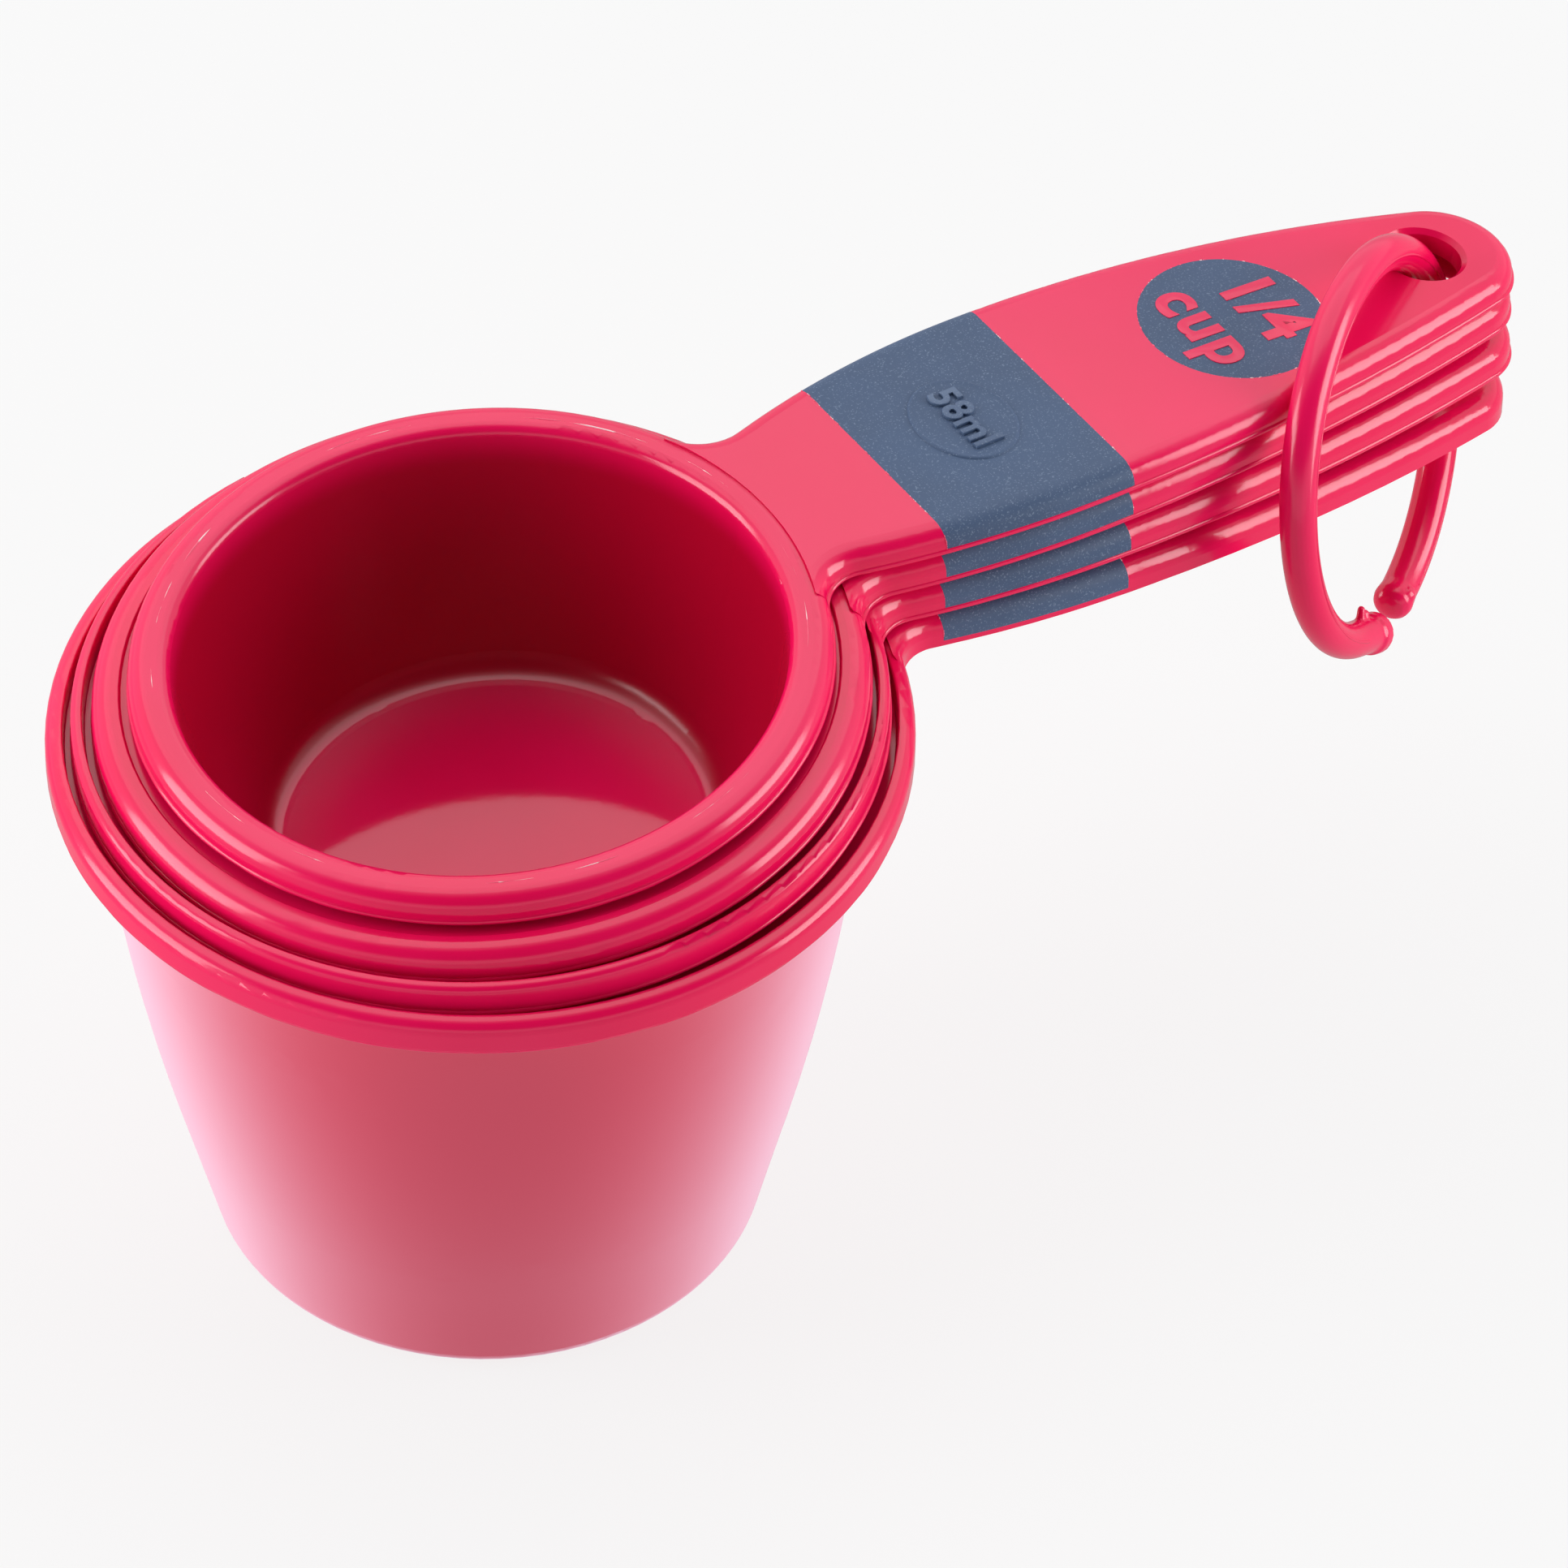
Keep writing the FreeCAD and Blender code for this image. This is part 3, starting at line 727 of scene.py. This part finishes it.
def acrossHandle(cup, x):
    # over the top of the handle at x, from one bottom edge to the other
    width = halfWidth(x)
    corner = handle["edgeRound"]
    section = [(-width, -cup["thick"] + 0.7), (-width, -corner)]
    section += [(-width + corner * (1 - math.cos(a)), corner * (math.sin(a) - 1))
                for a in (0.3, 0.6, 0.9, 1.2, 1.5)]  # round the upper edge, in radians
    section += [(width * k / 12, 0.0) for k in range(-10, 11) if abs(width * k / 12) < width - corner]
    section += [(-y, z) for y, z in reversed(section[:7])]  # down the other side
    return [onHandle(cup, x, y, z) for y, z in section]


for number, (name, cup) in enumerate(cups.items()):
    discEdge = [onHandle(cup, handle["discAt"] + handle["discRadius"] * math.cos(a),
                         handle["discRadius"] * math.sin(a), 0.0) for a in turns[::4]]
    runs = [acrossHandle(cup, handle["bandFrom"]), acrossHandle(cup, handle["bandTo"]), discEdge]
    slivers = growAlong("edge_flash_" + name, runs, False, bitsTree, {
        "Spacing": bits["spacing"] * mm, "Share": bits["share"], "Smallest": bits["smallest"] * mm,
        "Largest": bits["largest"] * mm, "Seed": bits["firstSeed"] + number, "Material": trimFlash})
    fasten(slivers, name + "_cup")
print("stage: flash bits strewn")


# ---- raised oval and volume mark on each grip ----

oval = {
    "at": 57.9,
    "across": 6.4,  # half its length across the handle
    "along": 5.2,
    "profile": [(0.0, 0.10), (0.5, 0.10), (0.88, 0.10), (0.925, 0.14), (0.95, 0.20), (0.975, 0.19),
                (1.0, 0.10), (1.02, -0.12)],  # share of the size, height
    "points": 96,
}


def makeOval(name, cup):
    mesh = bpy.data.meshes.new("grip_oval_" + name)
    build = bmesh.new()
    middle = build.verts.new(onHandle(cup, oval["at"], 0.0, oval["profile"][0][1]))
    rings = []
    for share, height in oval["profile"][1:]:
        ring = []
        for k in range(oval["points"]):
            angle = 2 * math.pi * k / oval["points"]
            x = oval["at"] + oval["along"] * share * math.cos(angle)
            ring.append(build.verts.new(onHandle(cup, x, oval["across"] * share * math.sin(angle), height)))
        rings.append(ring)
    for k in range(oval["points"]):
        following = (k + 1) % oval["points"]
        build.faces.new((middle, rings[0][k], rings[0][following]))
        for inner, outer in zip(rings, rings[1:]):
            build.faces.new((inner[k], outer[k], outer[following], inner[following]))
    build.faces.new(reversed(rings[-1]))
    build.to_mesh(mesh)
    build.free()
    smoothShade(mesh, 40)
    return meshObject("grip_oval_" + name, mesh, gripRubber)


def textMesh(words, height, bold, depth, bevel, stretch=1.0):
    # flat letters in millimetres, centred, with rounded top edges
    curve = bpy.data.curves.new("letters", "FONT")
    curve.body = words
    curve.size = height / 0.73  # a capital is this share of the font's size
    curve.space_character = stretch
    curve.offset = bold
    curve.extrude = depth
    curve.bevel_depth = bevel
    curve.bevel_resolution = 2
    curve.resolution_u = 6
    curve.align_x = "CENTER"
    curve.align_y = "CENTER"
    holder = bpy.data.objects.new("letters", curve)
    scene.collection.objects.link(holder)
    graph = bpy.context.evaluated_depsgraph_get()
    mesh = bpy.data.meshes.new_from_object(holder.evaluated_get(graph))
    bpy.data.objects.remove(holder)
    return mesh


def layText(mesh, cup, x, y, sink):
    # letters read towards -Y with their tops towards the tip of the handle
    for vertex in mesh.vertices:
        u, v, w = vertex.co
        vertex.co = onHandle(cup, x + v, y - u, w + sink)
    build = bmesh.new()
    build.from_mesh(mesh)
    bmesh.ops.remove_doubles(build, verts=build.verts, dist=1e-7)
    bmesh.ops.recalc_face_normals(build, faces=build.faces)
    build.to_mesh(mesh)
    build.free()
    smoothShade(mesh, 35)


volumeMark = {
    "height": 3.3,
    "longHeight": 2.772,  # for a mark of five letters
    "bold": 0.05,
    "depth": 0.16,
    "bevel": 0.09,
    "stretch": 1.06,
    "raise": 0.22,
}

for name, cup in cups.items():
    fasten(makeOval(name, cup), name + "_cup")
    height = volumeMark["height"] if len(cup["volume"]) < 5 else volumeMark["longHeight"]
    letters = textMesh(cup["volume"], height, volumeMark["bold"],
                       volumeMark["depth"], volumeMark["bevel"], volumeMark["stretch"])
    layText(letters, cup, oval["at"], 0.0, volumeMark["raise"])
    mark = meshObject("volume_mark_" + name, letters, markRubber)
    fasten(mark, name + "_cup")
print("stage: grip marks made")


# ---- letters on the label discs ----

label = {
    "partHeight": 6.1,
    "wordHeight": 5.9,
    "partShift": 3.9,  # from the middle of the disc towards the tip
    "wordShift": -3.3,
    "wordAside": 0.2,
    "wordStretch": 1.12,
    "bold": 0.23,
    "depth": 0.08,
    "bevel": 0.03,
    "raise": -0.02,
}

for name, cup in cups.items():
    upper = textMesh(cup["part"], label["partHeight"], label["bold"], label["depth"], label["bevel"])
    layText(upper, cup, handle["discAt"] + label["partShift"], 0.0, label["raise"])
    part = meshObject("label_part_" + name, upper, cupPlastic[name])
    fasten(part, name + "_cup")
    lower = textMesh("cup", label["wordHeight"], label["bold"], label["depth"], label["bevel"],
                     label["wordStretch"])
    layText(lower, cup, handle["discAt"] + label["wordShift"], label["wordAside"], label["raise"])
    word = meshObject("label_word_" + name, lower, cupPlastic[name])
    fasten(word, name + "_cup")
print("stage: label letters made")


# ---- snap ring ----

ring = {
    "centre": (102.15, -10.65, 57.45),
    "facing": 123.3,
    "lean": -10.3,
    "radius": 20.2,
    "wire": 1.95,
    "openAngle": 32.0,  # of the circle, between the lowest point and the start of the tail
    "tail": 5.4,
    "steps": 220,
    "sides": 24,
    "nub": [(-1.2, 1.95), (-0.2, 2.07), (0.5, 2.15), (1.2, 1.98), (1.75, 1.5), (2.05, 0.8), (2.12, 0.15)],
    "knob": [(-1.0, 0.2), (-0.85, 0.7), (-0.3, 1.05), (0.3, 1.05), (0.85, 0.7), (1.0, 0.2)],
    "knobAt": (-1.25, -0.5),  # along the ring's facing and towards its lowest point
    "catchAt": 1.4,
    "catches": [(2.6, 0.55, 0.6), (3.1, 0.42, -0.4)],  # reach inwards, half width, place along the tail
    "voxel": 0.17,
    "seamRadius": 0.17,
    "seamSteps": 260,
    "seamSides": 6,
    "seamSink": 0.09,
    "seamShifts": {1: 0.12, -1: -0.1},  # of the line on either face, out from the middle of the wire
}


def ringDirections():
    facing = math.radians(ring["facing"])
    lean = math.radians(ring["lean"])
    normal = Vector((math.cos(lean) * math.cos(facing), math.cos(lean) * math.sin(facing), math.sin(lean)))
    low = (normal * normal.z - Vector((0, 0, 1))).normalized()
    return Vector(ring["centre"]), low, normal.cross(low), normal


def ringPoint(angle, radius, rise=0.0):
    # angle counts from the lowest point towards the tail
    centre, low, side, normal = ringDirections()
    return (centre + (low * math.cos(angle) + side * math.sin(angle)) * radius + normal * rise) * mm


def turnedShell(build, profile, foot, axis, sides=28):
    # a closed shell turned about a line, profile as (distance along, radius)
    across = axis.orthogonal().normalized()
    other = axis.cross(across)
    rings = []
    for along, radius in profile:
        circle = []
        for k in range(sides):
            angle = 2 * math.pi * k / sides
            spread = across * math.cos(angle) + other * math.sin(angle)
            circle.append(build.verts.new((foot + axis * along + spread * radius) * mm))
        rings.append(circle)
    for inner, outer in zip(rings, rings[1:]):
        for k in range(sides):
            following = (k + 1) % sides
            build.faces.new((inner[k], inner[following], outer[following], outer[k]))
    build.faces.new(reversed(rings[0]))
    build.faces.new(rings[-1])


def makeRing():
    centre, low, side, normal = ringDirections()
    opening = math.radians(ring["openAngle"])
    sweep = 2 * math.pi - opening
    path = [ringPoint(opening + sweep * k / ring["steps"], ring["radius"]) for k in range(ring["steps"] + 1)]
    loop = growAlong("snap_ring_loop", [path], False, strandTree, {
        "Radius": ring["wire"] * mm, "Thinnest": 1.0, "Thickest": 1.0, "Sides": ring["sides"],
        "Material": ringPlastic})
    outward = low * math.cos(opening) + side * math.sin(opening)
    ahead = (low * math.sin(opening) - side * math.cos(opening)).normalized()
    start = centre + outward * ring["radius"]
    build = bmesh.new()
    build.from_mesh(loop.data)
    tail = ring["tail"]
    wire = ring["wire"]
    turnedShell(build, [(-0.4, wire), (tail - 2.0, wire), (tail - 1.6, wire + 0.28), (tail - 0.1, wire + 0.3),
                        (tail, wire + 0.12), (tail - 0.02, 1.35), (tail - 0.25, 1.2), (tail - 0.25, 0.75),
                        (tail - 0.7, 0.55), (tail - 0.9, 0.1)], start, ahead)
    nubFoot = centre + low * ring["radius"]
    turnedShell(build, ring["nub"], nubFoot, side)
    knobFoot = nubFoot + normal * ring["knobAt"][0] + low * ring["knobAt"][1]
    turnedShell(build, ring["knob"], knobFoot, low)
    for reach, width, place in ring["catches"]:
        foot = start + ahead * (ring["catchAt"] + place)
        turnedShell(build, [(0.0, width + 0.25), (reach, width), (reach + 0.25, width * 0.5)], foot, -outward, 10)
    mesh = bpy.data.meshes.new("snap_ring_body")
    build.to_mesh(mesh)
    build.free()
    bpy.data.objects.remove(loop)
    body = meshObject("snap_ring_body", mesh, ringPlastic)
    blendOver = body.modifiers.new("join", "REMESH")
    blendOver.mode = "VOXEL"
    blendOver.voxel_size = ring["voxel"] * mm
    soften = body.modifiers.new("soften", "SMOOTH")
    soften.factor = 0.5
    soften.iterations = 3
    graph = bpy.context.evaluated_depsgraph_get()
    joined = bpy.data.meshes.new_from_object(body.evaluated_get(graph))
    body.modifiers.clear()
    body.data = joined
    smoothShade(joined)
    joined.materials.clear()
    joined.materials.append(ringPlastic)
    return body, opening, sweep


ringBody, opening, sweep = makeRing()
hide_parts("snap_ring")
fasten(ringBody, "ring")
seams = []
for sign in (1, -1):
    seamRadius = ring["radius"] + ring["seamShifts"][sign]
    rise = sign * (ring["wire"] - ring["seamSink"])
    seams.append([ringPoint(opening + sweep * k / ring["seamSteps"], seamRadius, rise) for k in range(2, 256)])
seam = growAlong("snap_ring_seam", seams, False, strandTree, {
    "Radius": ring["seamRadius"] * mm, "Thinnest": 0.7, "Thickest": 1.1, "Wander Scale": 150.0,
    "Sides": ring["seamSides"], "Material": ringPlastic})
fasten(seam, "ring")
print("stage: ring made")


# ---- floor, light and camera ----

studio = {
    "floorColor": 0.09,
    "floorGlowSeen": 0.835,  # what the camera sees, which keeps the paper pale
    "floorGlowCast": 0.95,  # what lights the cups from below
    "floorGlowGloss": 0.35,  # what shows in their gloss
    "skyBack": 1.0,
    "skyFront": 0.03,
    "skyLow": 0.85,  # all round, near the horizon
    "skyTurn": (0.45, 0.75, 0.30),  # the bright side of the sky
    "lights": [
        {"name": "topSoft", "power": 3.1, "size": (1.2, 0.95),
         "at": (0.24, 0.34, 0.85), "aim": (0.03, 0.0, 0.05)},
        {"name": "leftSoft", "power": 5.1, "size": (0.5, 0.6),
         "at": (-0.62, 0.32, 0.22), "aim": (0.0, 0.0, 0.04)},
        {"name": "rightSoft", "power": 5.4, "size": (0.5, 0.6),
         "at": (0.66, -0.46, 0.16), "aim": (0.05, 0.0, 0.04)},
    ],
}


def makeFloor():
    mesh = bpy.data.meshes.new("floor")
    reach = 6.0
    mesh.from_pydata([(-reach, -reach, 0), (reach, -reach, 0), (reach, reach, 0), (-reach, reach, 0)], [],
                     [(0, 1, 2, 3)])
    made, tree, shader = newMaterial("floorPaper")
    grain = placeGroup(tree, grainGroup, {"Grain Scale": 400.0, "Wave Scale": 5.0, "Wave Share": 0.3})
    pale = studio["floorColor"]
    shade = mixColor(tree, grain.outputs["Mottle"], (pale, pale, pale), (pale + 0.01, pale + 0.01, pale + 0.01))
    tree.links.new(shade, shader.inputs["Base Color"])
    shader.inputs["Roughness"].default_value = 0.9
    shader.inputs["Specular IOR Level"].default_value = 0.0
    shader.inputs["Emission Color"].default_value = (1, 1, 1, 1)
    rays = tree.nodes.new("ShaderNodeLightPath")
    cast = mixFloat(tree, rays.outputs["Is Glossy Ray"], studio["floorGlowCast"], studio["floorGlowGloss"])
    glow = mixFloat(tree, rays.outputs["Is Camera Ray"], cast, studio["floorGlowSeen"])
    tree.links.new(glow, shader.inputs["Emission Strength"])
    floor = meshObject("floor", mesh, made)


def makeSky():
    # bright behind the cups and dim in front of them
    world = bpy.data.worlds.new("studioSky")
    world.use_nodes = True
    tree = world.node_tree
    sky = tree.nodes["Background"]
    facing = tree.nodes.new("ShaderNodeVectorMath")
    facing.operation = "DOT_PRODUCT"
    facing.inputs[1].default_value = Vector(studio["skyTurn"]).normalized()
    toward = tree.nodes.new("ShaderNodeTexCoord").outputs["Generated"]
    tree.links.new(toward, facing.inputs[0])
    share = rampBetween(tree, facing.outputs["Value"], -0.1, 0.5)
    height = tree.nodes.new("ShaderNodeSeparateXYZ")
    tree.links.new(toward, height.inputs[0])
    high = rampBetween(tree, height.outputs["Z"], 0.2, 0.45)
    upper = mixFloat(tree, share, studio["skyFront"], studio["skyBack"])
    tree.links.new(mixFloat(tree, high, studio["skyLow"], upper), sky.inputs["Strength"])
    sky.inputs["Color"].default_value = (1, 1, 1, 1)
    scene.world = world


def makeLights():
    for entry in studio["lights"]:
        data = bpy.data.lights.new(entry["name"], "AREA")
        data.shape = "RECTANGLE"
        data.size, data.size_y = entry["size"]
        data.energy = entry["power"]
        lamp = bpy.data.objects.new(entry["name"], data)
        scene.collection.objects.link(lamp)
        lamp.location = entry["at"]
        direction = Vector(entry["aim"]) - Vector(entry["at"])
        lamp.rotation_euler = direction.to_track_quat("-Z", "Y").to_euler()


cameraAt = {
    "position": (-0.38553, -0.61718, 0.75761),
    "azimuth": -34.368,
    "elevation": 44.008,
    "roll": 0.688,
    "lens": 232.68,
}


def makeCamera():
    azimuth, elevation, roll = (math.radians(cameraAt[key]) for key in ("azimuth", "elevation", "roll"))
    back = Vector((math.sin(azimuth) * math.cos(elevation), -math.cos(azimuth) * math.cos(elevation),
                   math.sin(elevation)))
    right = Vector((math.cos(azimuth), math.sin(azimuth), 0))
    up = back.cross(right)
    turned = Matrix.Rotation(roll, 3, back)
    right = turned @ right
    up = turned @ up
    data = bpy.data.cameras.new("camera")
    data.lens = cameraAt["lens"]
    data.sensor_width = 36.0
    camera = bpy.data.objects.new("camera", data)
    scene.collection.objects.link(camera)
    frameMatrix = Matrix((right, up, back)).transposed().to_4x4()
    frameMatrix.translation = cameraAt["position"]
    camera.matrix_world = frameMatrix
    scene.camera = camera


makeFloor()
makeSky()
makeLights()
makeCamera()
scene.view_settings.view_transform = "Standard"
print("stage: studio set up")
